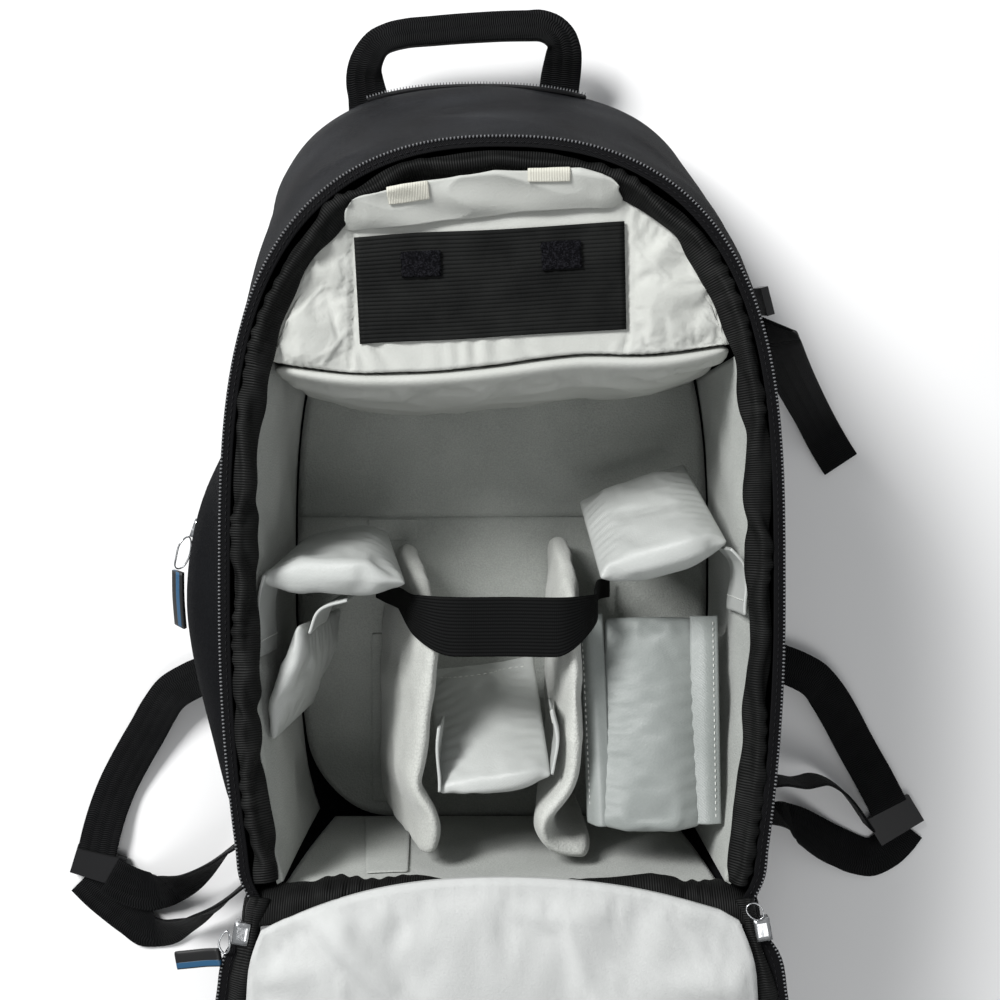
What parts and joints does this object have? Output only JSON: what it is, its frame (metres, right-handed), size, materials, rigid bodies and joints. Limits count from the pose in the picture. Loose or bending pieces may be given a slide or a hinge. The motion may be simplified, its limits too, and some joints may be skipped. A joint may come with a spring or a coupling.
{
  "type": "camera backpack",
  "caption": "Padded camera backpack lying on its back with its zipped front panel folded open over adjustable padded dividers.",
  "frame": {"origin": "below the middle of the whole resting pack, on the floor it lies on", "axes": "+X to the right as one looks into the opening, +Y up the pack towards its haul handle, +Z out of the opening, which faces up"},
  "size_m": [0.5528, 0.845, 0.194],
  "materials": {
    "shell_nylon": "woven black nylon, coated inside, faint sheen",
    "zip_tape": "black coil zip, teeth catching small points of light",
    "binding": "black ribbed binding, gathered",
    "elastic": "black woven elastic with fine lengthwise ribs",
    "lining": "light grey taffeta over thin foam, soft folds",
    "fleece": "grey brushed loop fleece, speckled",
    "satin": "grey satin-faced nylon, soft sheen",
    "hook_tape": "cream hook tape",
    "loop_tape": "black loop tape",
    "webbing": "black ribbed nylon webbing",
    "plastic": "moulded black",
    "metal": "bright plated wire and die casting",
    "pull_rubber": "moulded black edge with a dull blue core"
  },
  "bodies": {
    "root": {"outer_shell": "shell_nylon", "back_pad": "shell_nylon", "side_pocket": "shell_nylon", "lid_panel": "shell_nylon", "shoulder_strap_left": "shell_nylon", "shoulder_strap_right": "shell_nylon", "rim_zip": "zip_tape", "top_zip": "zip_tape", "lid_zip": "zip_tape", "rim_band": "binding", "lid_band": "binding", "hinge_binding": "binding", "elastic_band": "elastic", "ribbed_panel": "elastic", "lid_lining": "lining", "shelf": "lining", "pocket_front": "lining", "pocket_flap": "lining", "liner_back_lower": "fleece", "liner_back_upper": "fleece", "liner_left": "fleece", "liner_right": "fleece", "liner_bottom": "fleece", "divider_left": "fleece", "divider_right": "fleece", "divider_upper_left": "satin", "divider_lower_left": "satin", "divider_centre": "satin", "divider_lower_right": "satin", "divider_upper_right": "satin", "hook_tab_left": "hook_tape", "hook_tab_right": "hook_tape", "loop_patch_left": "loop_tape", "loop_patch_right": "loop_tape", "haul_handle": "webbing", "strap_web_left": "webbing", "strap_return_left": "webbing", "strap_tail_left": "webbing", "strap_web_right": "webbing", "strap_return_right": "webbing", "strap_tail_right": "webbing", "compression_strap": "webbing", "strap_lock_left": "plastic", "strap_lock_right": "plastic", "compression_lock": "plastic", "side_slider": "metal", "side_link": "metal", "zip_slider_left": "metal", "zip_link_left": "metal", "zip_slider_right": "metal", "zip_link_right": "metal", "side_pull": "pull_rubber", "zip_pull_left": "pull_rubber"}
  },
  "joints": []
}
